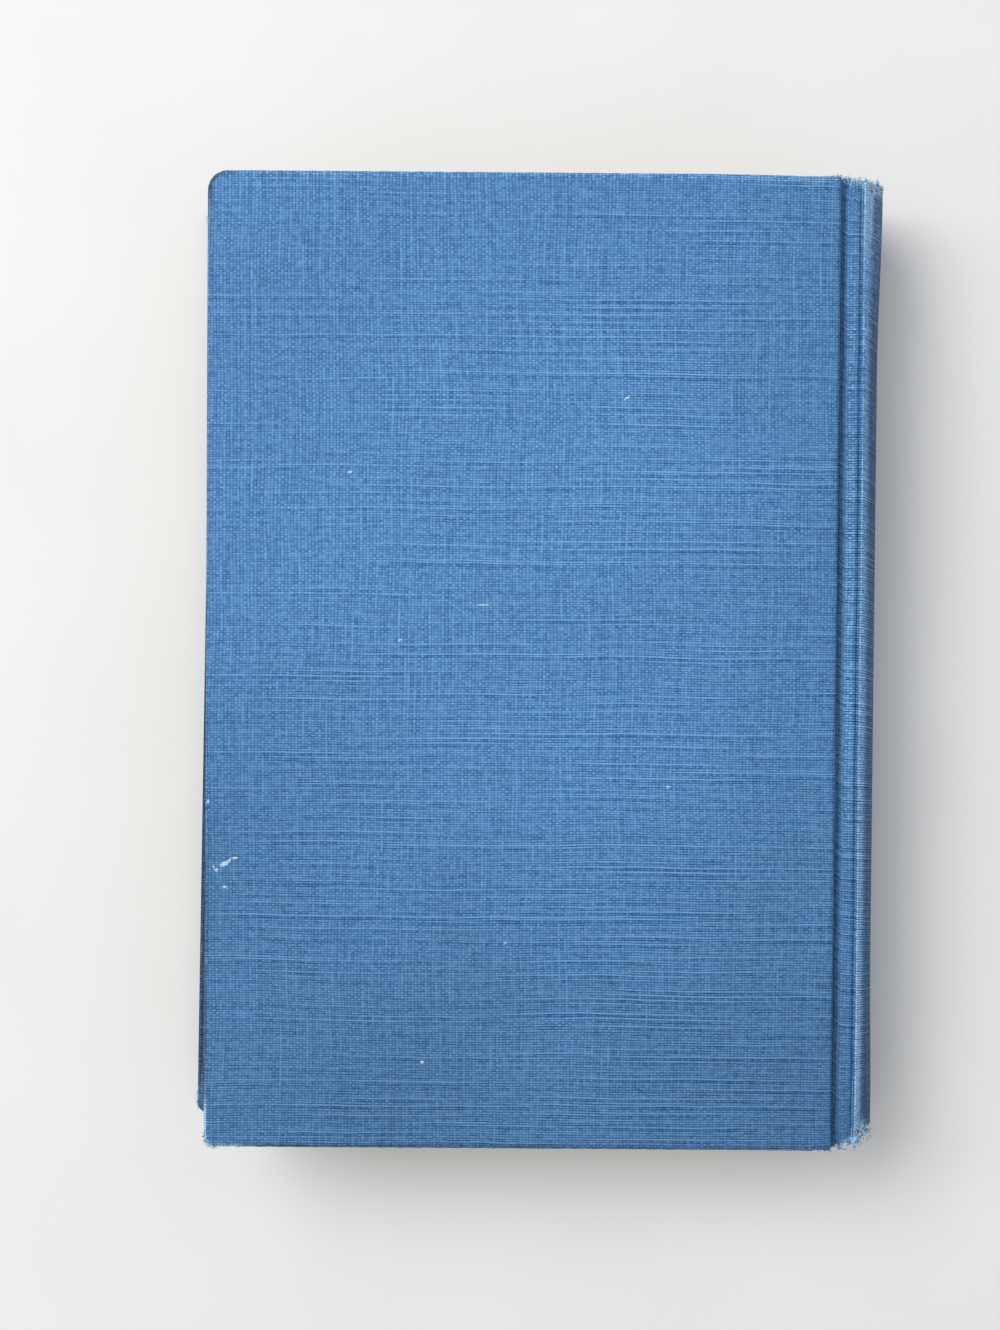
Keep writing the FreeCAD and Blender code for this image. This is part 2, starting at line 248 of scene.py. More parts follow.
# The spine lining: a strip of brown paper, glued over the mull to stiffen the back of the
# leaves. Its long fibres run up the spine.
lining, ink = material("lining_paper", Specular_IOR_Level=0.25)
fibres = ink.grain(1.2, 0.5, 1.2, 4.0, 0.65)
lining_tone = ink.mix(srgb(146, 120, 84), srgb(184, 160, 122), fibres)
surface(lining, lining_tone, fibres * 0.15 + 0.75, fibres, 0.05)
dress("spine_lining", lining)


# The end bands: a bead worked in pale and blue stripes on a tape, one at the head and one at
# the tail, glued behind the folds.
band, ink = material("band_cloth", Sheen_Weight=0.3, Specular_IOR_Level=0.3)
_, _, z = ink.object_place().parts()
turns = ink.math("FRACT", z * 0.55)
wraps = ink.math("SINE", z * 18.0)
stripe = turns.ramp(0.45, 0.55) - turns.ramp(0.95, 1.0)
band_tone = ink.mix(srgb(206, 196, 172), srgb(84, 112, 152), stripe)
band_tone = band_tone.scaled(wraps * 0.08 + 0.9)
surface(band, band_tone, wraps * 0.05 + 0.75, wraps, 0.08)
dress("head_band", band)
dress("tail_band", band)


# The endpapers: one folded sheet at each end of the leaves. Half is free, and half is pasted
# down over the turned-in cloth. Both have toned, most of all along their edges.
case_height = (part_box("spine_cloth")[1].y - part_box("spine_cloth")[0].y) / MM
half_height = case_height / 2
leaves_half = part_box("leaves")[1].y / MM
end_paper, ink = material("end_paper", Specular_IOR_Level=0.25)
_, y, _ = ink.object_place().parts()
pulp = ink.grain(0.9, 0.9, 0.9, 5.0, 0.6)
cloud = ink.grain(0.035, 0.035, 0.035, 3.0)
edge_near = ink.math("ABSOLUTE", y).ramp(leaves_half - 26, leaves_half)
end_tone = ink.mix(srgb(206, 190, 156), srgb(222, 209, 180), pulp)
end_tone = ink.mix(end_tone, srgb(184, 160, 118), cloud.ramp(0.42, 0.75) * 0.4)
end_tone = ink.mix(end_tone, srgb(176, 148, 104), edge_near * (cloud * 0.6 + 0.15))
surface(end_paper, end_tone, pulp * 0.1 + 0.8, pulp, 0.03)
for node in ("back_flyleaf", "front_flyleaf", "back_pastedown", "front_pastedown"):
    dress(node, end_paper)


# The boards: grey pulp board, cut with a knife, so the edges are fibrous. The cloth is pasted
# over them. The card inside the spine is cut from a thinner sheet of the same.
board_grey, ink = material("binders_board", Specular_IOR_Level=0.2)
pulp = ink.grain(0.8, 0.8, 4.0, 5.0, 0.65)
board_tone = ink.mix(srgb(118, 112, 100), srgb(160, 152, 136), pulp.ramp(0.3, 0.7))
surface(board_grey, board_tone, pulp * 0.1 + 0.85, pulp, 0.12)
for node in ("back_board", "front_board"):
    dress(node, board_grey)


# The mull: open, starched muslin glued over the sewing, from one joint round to the other,
# and its flaps, which are glued to the insides of the boards under the endpapers.
mull_gauze, ink = material("mull_cloth", Specular_IOR_Level=0.25)
x, y, z = ink.object_place().parts()
warp_wave = ink.math("SINE", y * 7.0)
weft_wave = ink.math("SINE", (x + z) * 7.0)
gauze = ink.math("MAXIMUM", warp_wave, weft_wave).ramp(-0.2, 0.9)
mull_tone = ink.mix(srgb(120, 100, 70), srgb(214, 204, 178), gauze)
surface(mull_gauze, mull_tone, gauze * 0.1 + 0.8, gauze, 0.12)
for node in ("back_mull_flange", "front_mull_flange"):
    dress(node, mull_gauze)


# The covering: one blue book cloth of uneven, slubby threads, filled, dyed and calendered.
# It is pasted over the boards, pressed into the joints and turned in on the inside.
weft_pitch = 0.51
warp_pitch = 0.70
deep_blue = srgb(22, 76, 132)
thread_blue = srgb(116, 172, 224)
rubbed_blue = srgb(134, 180, 225)
worn_pale = srgb(172, 211, 240)
# A dark blue that dirt and painted shade darken the cloth towards.
grime_and_shade = srgb(26, 38, 58)


def threads(ink, across, along, pitch, seed, slubby, slub_length, lit_side):
    """The threads that lie side by side across one direction: how high and how pale each is."""
    lump_length = 0.6
    place = across * (1 / pitch)
    row = place.floor()
    wander = ink.noise(ink.vector(along * 0.12, row * 0.37, seed + 3), 1.0, 1.0)
    inside = place - row - 0.5 + (wander - 0.5) * 0.7
    body = 1 - inside * inside * 4
    tone = ink.chance(row, seed)
    run = along * (1 / slub_length)
    slub = ink.noise(ink.vector(run, row * 7.13, seed), 1.0, 1.0, 0.5).ramp(0.54, 0.72)
    # A thick thread shades the one beside it.
    beside = row + lit_side
    shaded = ink.noise(ink.vector(run, beside * 7.13, seed), 1.0, 1.0, 0.5).ramp(0.54, 0.72)
    lump = ink.noise(ink.vector(along * (1 / lump_length), row * 7.13, seed + 5), 1.0, 2.0, 0.7)
    thick = slub * slubby
    height = body * (tone * 0.2 + thick * 0.3 + lump * 0.45 + 0.35)
    shade = body * (body * thick * 0.62 + 0.5) + thick * 0.08 - shaded * (0.26 * slubby)
    shade = shade + (tone - ink.chance(beside, seed)) * 0.14 + lump * 0.5 - 0.52
    return height, shade, row


def scuffs_on(u, v):
    """White scratches and specks on the back cover, each at its place, with length, width and turn."""
    scuffs = (
        (-63.4, -42.2, 1.2, 0.55, 0.45),
        (-61.3, -41.0, 0.8, 0.3, 0.15),
        (-62.4, -41.5, 0.6, 0.35, 1.1),
        (-65.1, -43.5, 0.5, 0.4, 0.3),
        (-65.6, -42.9, 0.5, 0.2, -0.8),
        (-63.3, -47.0, 0.6, 0.28, 0.0),
        (-66.9, -29.2, 0.3, 0.5, 0.0),
        (19.4, 55.0, 0.9, 0.3, 0.7),
        (-37.8, 39.3, 0.6, 0.3, 0.2),
        (-27.2, 4.6, 0.55, 0.35, 0.4),
        (-10.1, 12.0, 1.6, 0.16, 0.0),
        (28.7, -25.5, 0.4, 0.35, 0.0),
        (-4.9, -58.3, 0.35, 0.3, 0.0),
        (-22.0, -83.3, 0.4, 0.45, 1.5),
    )
    total = None
    for centre_u, centre_v, length, width, turn in scuffs:
        du = u - centre_u
        dv = v - centre_v
        run = (du * math.cos(turn) + dv * math.sin(turn)) * (1 / length)
        rise = (dv * math.cos(turn) - du * math.sin(turn)) * (1 / width)
        spot = 1 - (run * run + rise * rise).ramp(0.05, 1.2)
        total = spot if total is None else total.math("MAXIMUM", total, spot)
    return total


def make_book_cloth(name, scuffed):
    made, ink = material(name, Specular_IOR_Level=0.2)
    u, v, _ = ink.attribute("cloth_place", "Vector").parts()
    wear = ink.attribute("wear")
    dirt = ink.attribute("dirt")
    bend = ink.noise(ink.vector(u * 0.02, v * 0.03, 6.0), 1.0, 1.0) * 2.0
    weft_height, weft_shade, pick = threads(
        ink, v + bend, u, weft_pitch, seed=1.0, slubby=1.0, slub_length=62.0, lit_side=1.0
    )
    warp_height, warp_shade, end = threads(
        ink, u + bend, v, warp_pitch, seed=31.0, slubby=0.5, slub_length=15.0, lit_side=-1.0
    )
    # A plain weave: weft and warp lie on top by turns, and each crossing is a knot of its own.
    over = ink.math("FLOORED_MODULO", pick + end, 2.0)
    knot = ink.chance(pick + 0.37, end)
    # Weft shows most in the middle and lower cover, warp near the head and the fore-edge.
    drift = ink.noise(ink.vector(u * 0.03, v * 0.024, 4.0), 1.0, 2.0)
    lengthwise = (drift * 1.3 + u * 0.0036 - v * 0.0034 - 0.12).ramp(0.05, 0.95)
    weft_gain = lengthwise * 0.8 + 0.48
    warp_gain = 0.62 - lengthwise * 0.16
    weft_part = weft_height * weft_gain * (over * 0.4 + 0.75)
    warp_part = warp_height * warp_gain * (1.15 - over * 0.4)
    height = weft_part + warp_part + knot * 0.15
    crimp = ink.noise(ink.vector(u * 0.16, v * 0.3, 12.0), 1.0, 2.0).ramp(0.32, 0.68)
    shade = weft_shade * weft_gain + warp_shade * warp_gain + (over - 0.5) * (crimp * 0.17 + 0.06)
    shade = shade + (knot - 0.5) * 0.4 + 0.42
    tone = ink.mix(deep_blue, thread_blue, shade.ramp(-0.45, 1.4))
    # A painted highlight and handling lighten the middle, and painted shade greys the joint side and
    # the lower cover.
    patches = ink.noise(ink.vector(u, v, 9.0), 0.02, 2.0, 0.45)
    fall = ink.math("MINIMUM", v * 0.0016, 0.02)
    joint_side = u.ramp(35.0, 64.0)
    spread = u * u * 0.0004 + v * v * 0.00016
    handled_and_lit = 1 - spread.ramp(0.0, 1.5)
    level = patches * 0.26 + fall + handled_and_lit * 0.06 + 0.73 - joint_side * 0.07
    tone = tone.scaled(level)
    # The dye is rubbed off along edges, and off the highest threads first; along the spine's ridges the
    # same pale also stands for a painted highlight.
    rubbing = ink.noise(ink.vector(u, v, 2.0), 1.2, 4.0, 0.75)
    crown = height * 0.9 + rubbing * 1.1 + knot * 0.2
    touched = wear.ramp(0.02, 0.3)
    rubbed = (wear * 1.1 + crown - 1.6).ramp(0.0, 0.6) * touched
    bare = (wear * 1.6 + crown * 1.3 - 3.0).ramp(0.0, 0.45) * touched
    tone = ink.mix(tone, rubbed_blue, rubbed * 0.7)
    tone = ink.mix(tone, worn_pale, bare * 0.85)
    # Dirt and painted shade darken the cloth towards a dark blue: dirt on the rims and the hidden
    # fore-edge, painted shade in the grooves, creases, edge walls and down the side of the spine.
    soiled_and_shaded = (dirt * (rubbing * 0.9 + 0.8 - height * 0.6)).ramp(0.0, 1.0)
    tone = ink.mix(tone, grime_and_shade, soiled_and_shaded * 0.85)
    if scuffed:
        scraped = scuffs_on(u, v) * (rubbing * 1.3 + height * 0.5 - 0.3).ramp(0.15, 0.75)
        tone = ink.mix(tone, srgb(206, 226, 236), scraped * 0.85)
    surface(made, tone, 0.74 - height * 0.1 + bare * 0.1, height, 0.12)
    return made


cloth_scuffed = make_book_cloth("book_cloth_scuffed", True)
cloth_plain = make_book_cloth("book_cloth", False)


def cloth_object(name, points, faces, places, wear, dirt, made):
    """A piece of the covering: its mesh, its place in the woven cloth, its wear, and its dirt and
    painted shade.
    """
    mesh = bpy.data.meshes.new(name)
    mesh.from_pydata([Vector(p) * MM for p in points], [], faces)
    flat = [c for place in places for c in (place[0], place[1], 0.0)]
    mesh.attributes.new("cloth_place", "FLOAT_VECTOR", "POINT").data.foreach_set("vector", flat)
    mesh.attributes.new("wear", "FLOAT", "POINT").data.foreach_set("value", wear)
    mesh.attributes.new("dirt", "FLOAT", "POINT").data.foreach_set("value", dirt)
    built = bmesh.new()
    built.from_mesh(mesh)
    bmesh.ops.remove_doubles(built, verts=built.verts, dist=0.004 * MM)
    bmesh.ops.recalc_face_normals(built, faces=built.faces)
    built.to_mesh(mesh)
    built.free()
    mesh.shade_smooth()
    mesh.set_sharp_from_angle(angle=math.radians(50))
    mesh.materials.append(made)
    return add_object(name, mesh)


# The cloth over each board: outside, round three edges and turned in, and down the joint.
# The corners are rubbed round, and the edges have lost dye where they stand and slide.
cloth_thickness = 0.45
turn_in = 15.0
edge_roll = 0.95
# Heights are measured outwards from the middle of the book, which lies half a book above the floor.
cover_top = (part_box("back_board")[1].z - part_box("front_board")[0].z) / 2 / MM + cloth_thickness
middle = cover_top
turn_in_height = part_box("back_board")[0].z / MM - middle - cloth_thickness
board_low = turn_in_height + cloth_thickness
wall_low = 12.15
joint_roll = 1.15
warp_of_board = 0.12
head_corner = 3.95
tail_corner = 2.15
joint_corner = 0.7
side_counts = (66, 100, 66, 100)
corner_count = 8
roll_steps = 6
flat_insets = (6.0, 4.0, 2.4, 1.5, edge_roll)
first_roll = len(flat_insets) - 1


def smooth(low, high, value):
    t = min(max((value - low) / (high - low), 0.0), 1.0)
    return t * t * (3 - 2 * t)


def wave(x, y, seed):
    """A slow swell over the cover, from -1 to 1."""
    return 0.5 * math.sin(0.043 * x + 1.3 * seed) * math.cos(0.031 * y + seed) + 0.5 * math.sin(
        0.027 * x - 0.039 * y + 2.1 * seed
    )


def plan_points(corners, inset, radii):
    """Points round a four-sided plan with rounded corners, with each point's outward direction."""
    corners = [Vector(corner) for corner in corners]
    sizes = [max(radius - inset, 0.001) for radius in radii]
    normals, centres = [], []
    for k in range(4):
        along = (corners[(k + 1) % 4] - corners[k]).normalized()
        normals.append(Vector((along.y, -along.x)))
    for k in range(4):
        before, after = normals[k - 1], normals[k]
        shift = (before + after) / (1 + before.dot(after))
        centres.append(corners[k] - shift * (inset + sizes[k]))
    result = []
    for k in range(4):
        start = math.atan2(normals[k - 1].y, normals[k - 1].x)
        turn = abs(normals[k - 1].angle_signed(normals[k]))
        for i in range(corner_count + 1):
            angle = start + turn * i / corner_count
            away = Vector((math.cos(angle), math.sin(angle)))
            result.append((centres[k] + away * sizes[k], away))
        j = (k + 1) % 4
        first = centres[k] + normals[k] * sizes[k]
        last = centres[j] + normals[k] * sizes[j]
        for i in range(1, side_counts[k]):
            result.append((first.lerp(last, i / side_counts[k]), normals[k]))
    return result


def section_at_the_rim():
    """The cloth's section at a board's edge, from its face round to its back: insets and heights."""
    section = [(inset, cover_top) for inset in flat_insets]
    for i in range(1, roll_steps + 1):
        a = math.pi / 2 * i / roll_steps
        section.append((edge_roll * (1 - math.sin(a)), cover_top - edge_roll * (1 - math.cos(a))))
    for share in (0.42, 0.24):
        section.append((0.0, board_low + (cover_top - turn_in_height) * share))
    for i in range(4):
        a = math.pi / 2 * i / 3
        section.append((cloth_thickness * (1 - math.cos(a)), board_low - cloth_thickness * math.sin(a)))
    section += [(inset, turn_in_height) for inset in (4.0, 9.0, turn_in)]
    section += [(inset, board_low) for inset in (turn_in, 9.0, cloth_thickness)]
    section += [(cloth_thickness, cover_top - edge_roll), (edge_roll, cover_top - cloth_thickness)]
    section.append((6.0, cover_top - cloth_thickness))
    return section


rim_section = section_at_the_rim()
first_inner = len(rim_section) - 6


def down_the_joint(index, inset, height, x, wall_x):
    """On the joint side the cloth isn't turned in: it rolls over the edge and runs down its wall."""
    if first_roll <= index <= first_roll + roll_steps:
        a = math.pi / 2 * (index - first_roll) / roll_steps
        return wall_x - joint_roll * (1 - math.sin(a)), cover_top - joint_roll * (1 - math.cos(a))
    if height < wall_low:
        return wall_x - (cloth_thickness if index >= first_inner else 0.0), wall_low
    if index > first_roll:
        x = wall_x - min(inset, cloth_thickness) if inset < 5 else x
        return x, min(height, cover_top - joint_roll)
    return x, height


def wear_dirt_and_shade(inset, level, place, height, away, tail_x, head_x, grimy_and_shaded):
    """How rubbed a place near a cover's edge is, and how dark with dirt and painted shade: the corner
    at the tail is worst.
    """
    x, y = place
    at_joint = away.x > 0.7
    side = smooth(turn_in_height + 0.2, cover_top - 0.4, level)
    near_tail = smooth(13.0, 5.0, math.hypot(x - tail_x, y + half_height))
    near_head = smooth(9.0, 4.0, math.hypot(x - head_x, y - half_height))
    to_fore, to_head, to_tail = max(0.0, -away.x), max(0.0, away.y), max(0.0, -away.y)
    wear = 0.46 * smooth(0.95, 0.3, inset) * to_fore + 0.5 * smooth(2.6, 0.6, inset) * to_head
    wear += 0.1 * smooth(1.0, 0.3, inset) * to_tail + 0.8 * smooth(1.2, 0.2, inset) * near_tail
    wear *= side * (1 - 0.75 * near_head)
    wear += grimy_and_shaded * 0.7 * smooth(3.0, 0.3, inset) * to_fore * (1 - side)
    # Painted shade on the edge walls below the rolled top, and on the wall down into the joint's
    # groove.
    shaded_wall = smooth(cover_top - 0.35, cover_top - 1.3, height)
    # Dirt and painted shade along the rolled rims of the fore-edge and the tail, darker towards the
    # tail.
    darker_towards_tail = 0.4 + 0.3 * smooth(-10, -60, y)
    rim_dirt_and_shade = darker_towards_tail * smooth(1.3, 0.5, inset) * to_fore + 0.5 * smooth(2.2, 0.6, inset) * to_tail
    dirt = 0.6 * shaded_wall if at_joint else 0.55 * shaded_wall * (1 - near_tail)
    # The rolled corner at the head takes painted shade.
    dirt += side * (rim_dirt_and_shade * (1 - near_tail) + 0.55 * near_head * smooth(2.0, 0.4, inset))
    # The front cover's fore-edge, under the back cover, takes dirt and painted shadow from the back
    # cover above it.
    dirt += grimy_and_shaded * smooth(cover_top - 0.9, cover_top - 2.0, height)
    return min(1.0, wear * (0.15 if at_joint else 1.0)), min(1.0, dirt)


def fill_inside(ring_start, count, sign, verts, faces):
    """Fills the plan inside one ring with a grid, for the middle of a face."""
    sides = []
    first = corner_count
    for length in side_counts:
        sides.append([ring_start + (first + i) % count for i in range(length + 1)])
        first += length + corner_count
    bottom, right, top, left = sides
    nx, ny = side_counts[:2]
    grid = {}
    for i in range(nx + 1):
        grid[i, 0] = bottom[i]
        grid[i, ny] = top[nx - i]
    for j in range(ny + 1):
        grid[nx, j] = right[j]
        grid[0, j] = left[ny - j]
    for j in range(1, ny):
        west, east = Vector(verts[grid[0, j]][0]), Vector(verts[grid[nx, j]][0])
        for i in range(1, nx):
            x, y, height = west.lerp(east, i / nx)
            grid[i, j] = len(verts)
            verts.append(([x, y, height], (x, sign * y), 0.0, 0.0))
    for j in range(ny):
        for i in range(nx):
            faces.append((grid[i, j], grid[i + 1, j], grid[i + 1, j + 1], grid[i, j + 1]))


def settle(point, sign, tail_x, head_x, wall_x, seed, rng):
    """The board has warped a little, the edges are uneven and the corners are bumped in."""
    x, y, height = point
    swell = warp_of_board * (wave(x, y, seed) - 1.0) * smooth(wall_x - 1.5, wall_x - 9, x)
    for corner_x, corner_y, bump in ((head_x, half_height, 0.35), (tail_x, -half_height, 0.5)):
        near = math.hypot(x - corner_x, y - corner_y)
        swell -= bump * math.exp(-((near / 4.0) ** 2))
    point[2] = middle + sign * (height + swell * smooth(11.5, 14.0, height))
    at_end = abs(y) > half_height - 0.6
    if at_end or x < max(tail_x, head_x) + 0.6:
        jitter = 0.05 * math.sin(x * 1.7 + y * 2.3 + seed) + rng.uniform(-0.03, 0.03)
        point[1] += jitter * (1 if y > 0 else -1) * at_end
        point[1] = max(-half_height, min(half_height, point[1]))
    # The ends of the joint side have been pressed in by handling.
    point[1] -= 0.38 * smooth(wall_x - 28, wall_x, x) * smooth(half_height - 12, half_height, y)
    point[1] += 0.3 * smooth(wall_x - 5, wall_x, x) * smooth(half_height - 5, half_height, -y)


def cover_cloth(name, sign, tail_x, head_x, wall_x, made, seed, grimy_and_shaded):
    """The cloth of one cover, as rings from the middle of its face out to the turned-in edge."""
    rng = random.Random(seed)
    tail_end, head_end = -half_height, half_height
    corners = ((tail_x, tail_end), (wall_x, tail_end), (wall_x, head_end), (head_x, head_end))
    radii = (tail_corner, joint_corner, joint_corner, head_corner)
    verts, faces, ring_starts = [], [], []
    reach = 0.0
    previous = rim_section[0]
    for index, (inset, level) in enumerate(rim_section):
        reach += math.hypot(inset - previous[0], level - previous[1])
        previous = (inset, level)
        ring_starts.append(len(verts))
        for place, away in plan_points(corners, inset, radii):
            x, height = place.x, level
            if away.x > 0.7:
                x, height = down_the_joint(index, inset, level, x, wall_x)
            woven = place + away * (reach - rim_section[0][0] + inset)
            wear, dirt = wear_dirt_and_shade(inset, level, (x, place.y), height, away, tail_x, head_x, grimy_and_shaded)
            verts.append(([x, place.y, height], (woven.x, sign * woven.y), wear, dirt))
    count = ring_starts[1]
    for a, b in zip(ring_starts, ring_starts[1:]):
        for i in range(count):
            j = (i + 1) % count
            faces.append((a + i, a + j, b + j, b + i))
    fill_inside(ring_starts[0], count, sign, verts, faces)
    fill_inside(ring_starts[-1], count, sign, verts, faces)
    points, places, wear, dirt = [list(column) for column in zip(*verts)]
    for point in points:
        settle(point, sign, tail_x, head_x, wall_x, seed, rng)
    return cloth_object(name, points, faces, places, wear, dirt, made)


back_joint_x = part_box("back_board")[1].x / MM
front_joint_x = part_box("front_board")[1].x / MM
back_edge_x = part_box("back_cover_cloth")[0].x / MM
front_tail_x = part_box("front_cover_cloth")[0].x / MM
front_slant = 2.4
back_cloth = cover_cloth(
    "back_cover_covering", 1, back_edge_x, back_edge_x, back_joint_x + cloth_thickness,
    cloth_scuffed, seed=3, grimy_and_shaded=0.0
)
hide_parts("back_cover_cloth")
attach(back_cloth, "back_cover")
# The front cover's fore-edge, under the back cover, is darkened with dirt and with painted shadow.
front_cloth = cover_cloth(
    "front_cover_covering", -1, front_tail_x, front_tail_x + front_slant,
    front_joint_x + cloth_thickness, cloth_plain, seed=7, grimy_and_shaded=0.62
)
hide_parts("front_cover_cloth")
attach(front_cloth, "front_cover")


# The joints and the spine: the same cloth, pressed into a groove beside each board, over the
# shoulder and the ridge, and round the spine strip. It is turned in at the head and the tail.
joint_width = 5.2
ridge_drop = 0.15
spine_round = 6.8
strip_thickness = 0.6
lean = back_joint_x - front_joint_x
strip_edge_height = cover_top - ridge_drop - cloth_thickness
strip_chord = math.hypot(lean, 2 * strip_edge_height)
strip_radius = (strip_chord ** 2 / 4 + spine_round ** 2) / (2 * spine_round)
round_x = back_joint_x + joint_width - lean / 2
round_x -= (strip_radius - spine_round) * 2 * strip_edge_height / strip_chord
round_height = (strip_radius - spine_round) * lean / strip_chord
cloth_radius = strip_radius + cloth_thickness
hinge_setback = 4.3
split_setback = 4.62
groove_run = 3.4
joint_step = 0.16


def edge_angle(joint_x, height):
    return math.atan2(strip_edge_height - height, joint_x + joint_width - round_x)


back_angle = edge_angle(back_joint_x, round_height)
front_angle = edge_angle(front_joint_x, -round_height)
round_length = (back_angle + front_angle) * cloth_radius


def curve_through(knots, step):
    """A smooth line through its knots, sampled evenly."""
    knots = [Vector(knot) for knot in knots]
    line = []
    for i, (start, end) in enumerate(zip(knots, knots[1:])):
        before, after = knots[max(i - 1, 0)], knots[min(i + 2, len(knots) - 1)]
        linear = end - before
        square = 2 * before - 5 * start + 4 * end - after
        cube = 3 * start - before - 3 * end + after
        count = max(2, round((end - start).length / step))
        for k in range(count):
            t = k / count
            line.append(0.5 * (2 * start + linear * t + square * t ** 2 + cube * t ** 3))
    line.append(knots[-1])
    return line


def joint_line(joint_x, centre_height, angle):
    """The face of the cloth from the groove beside the board to the round of the spine."""
    knots = [
        (0.50, 12.60), (0.85, 12.42), (1.25, 12.50), (1.70, 12.86), (2.15, 13.26), (3.10, 13.64),
        (3.90, 13.88), (4.30, 13.76), (4.62, 13.66), (4.86, 13.98), (5.10, 14.45),
    ]
    line = curve_through([(joint_x + dx, h) for dx, h in knots], joint_step)
    centre = Vector((round_x, centre_height))
    for i in range(3):
        a = angle + (2 - i) * 0.009
        line.append(centre + Vector((math.cos(a), math.sin(a))) * cloth_radius)
    return line


def mirrored(point, sign):
    """A point or direction of the back half, or the same one in the front half."""
    return Vector((point.x, sign * point.y))


def round_the_back(radius, t):
    """A point round the spine and its outward direction: t runs from the back ridge to the front."""
    a = back_angle - (back_angle + front_angle) * t
    out = Vector((math.cos(a), math.sin(a)))
    return Vector((round_x, round_height)) + out * radius, out


def normals_of(line):
    result = []
    for i in range(len(line)):
        along = line[min(i + 1, len(line) - 1)] - line[max(i - 1, 0)]
        result.append(Vector((-along.y, along.x)).normalized())
    return result


def flare(y):
    """The spine cloth stands out a little at the head, and less at the tail."""
    return 0.75 * smooth(62, 98, y) + 0.35 * smooth(60, 96, -y)


def crowded(t):
    """A place along the book, from -1 to 1, with the steps closer together near both ends."""
    return t * (1.35 - 0.35 * t * t)


def section_of(depth, layer):
    """The cloth's section along the book: its face, a rolled end, the turned-in layer, and back."""
    turn = depth / 2
    inner = half_height - turn_in
    rows = [half_height * crowded(-1 + i / 115) for i in range(231)]
    section = [(y, 0.0) for y in rows if abs(y) < half_height - turn]
    rolled = []
    for k in range(9):
        a = math.pi * k / 8
        rolled.append((half_height - turn + turn * math.sin(a), turn * math.cos(a) - turn))
    end = rolled + [(half_height - turn_in * k / 5, -depth) for k in range(1, 6)]
    end.append((inner, layer - depth))
    if depth > 2.5 * layer:
        end += [(half_height - 0.6, layer - depth), (half_height - 0.6, -layer), (inner, -layer)]
    section += end
    section += [(inner * (1 - k / 12), -layer) for k in range(1, 24)]
    section += [(-y, height) for y, height in reversed(end)]
    return section


def worn_off(run, at_head):
    """How much cloth is worn off an end, at a distance round from the back board's edge."""
    ragged = 0.22 * math.sin(run * 5.1 + at_head) + 0.16 * math.sin(run * 12.7 + 1.0)
    most, full_at = (0.8, 5.0) if at_head else (2.6, 8.5)
    lost = 0.35 + most * smooth(2.0, full_at, run) * smooth(26.0, 12.0, run)
    return max(0.0, lost + ragged * smooth(0.8, 3.0, run))


def end_wear(run, y):
    """The frayed places at the tail corner and at the head, from 0 to 1."""
    at_tail = 4.6 * smooth(0.6, 6.5, run) * smooth(10.5, 6.5, run) + 2.2 * smooth(6.5, 10.5, run)
    at_tail *= smooth(30.0, 18.0, run)
    tail = smooth(at_tail + 1.4, at_tail - 2.8, y + half_height)
    at_head = 1.3 + 1.5 * smooth(4.4, 5.4, run)
    head = smooth(at_head + 0.9, at_head - 0.7, half_height - y)
    return max(tail, head * 0.95)


def end_darkening(run, y):
    """Painted shade in the hollow of the frayed tail corner, and a dark spot at the head."""
    tail = math.exp(-(((run - 5.3) / 0.8) ** 2) - ((y + half_height - 2.4) / 0.7) ** 2)
    head = math.exp(-(((run - 4.0) / 0.9) ** 2) - ((half_height - y - 1.6) / 0.8) ** 2)
    return 0.9 * tail + 0.75 * head


def shortened(run, y):
    """Where a place along the book lies once the ends of the cloth are worn off."""
    head = worn_off(run, 1) * smooth(half_height - 16, half_height, y)
    return y - head + worn_off(run, 0) * smooth(half_height - 16, half_height, -y)


def unworn(s, y):
    return 0.0


def as_cut(s, y):
    """No swell, and the end where it was cut."""
    return 0.0, y


def no_slant(s):
    """The threads run square to the spine."""
    return 0.0


def swept_cloth(name, stations, section, places, made, wear_of=unworn, painted_shade_of=unworn,
                shape_of=as_cut, slip_of=no_slant):
    """Sweeps a section along the book over stations: a face point, its normal and its turn."""
    points, flat, wear, dirt, faces = [], [], [], [], []
    count = len(section)
    for (face, normal, s), u in zip(stations, places):
        for y, depth in section:
            grow, end_y = shape_of(s, y)
            place = face + normal * (depth + grow)
            points.append((place.x, end_y, middle + place.y))
            woven = y if depth > -0.01 else y + depth * (1 if y > 0 else -1)
            flat.append((u, woven + slip_of(s)))
            wear.append(wear_of(s, y))
            dirt.append(painted_shade_of(s, y))
    for i in range(len(stations) - 1):
        for j in range(count):
            k = (j + 1) % count
            faces.append((i * count + j, i * count + k, (i + 1) * count + k, (i + 1) * count + j))
    last = (len(stations) - 1) * count
    faces.append(tuple(range(count)))
    faces.append(tuple(last + j for j in reversed(range(count))))
    return cloth_object(name, points, faces, flat, wear, dirt, made)


def lengths_of(line, start):
    result = [start]
    for a, b in zip(line, line[1:]):
        result.append(result[-1] + (b - a).length)
    return result


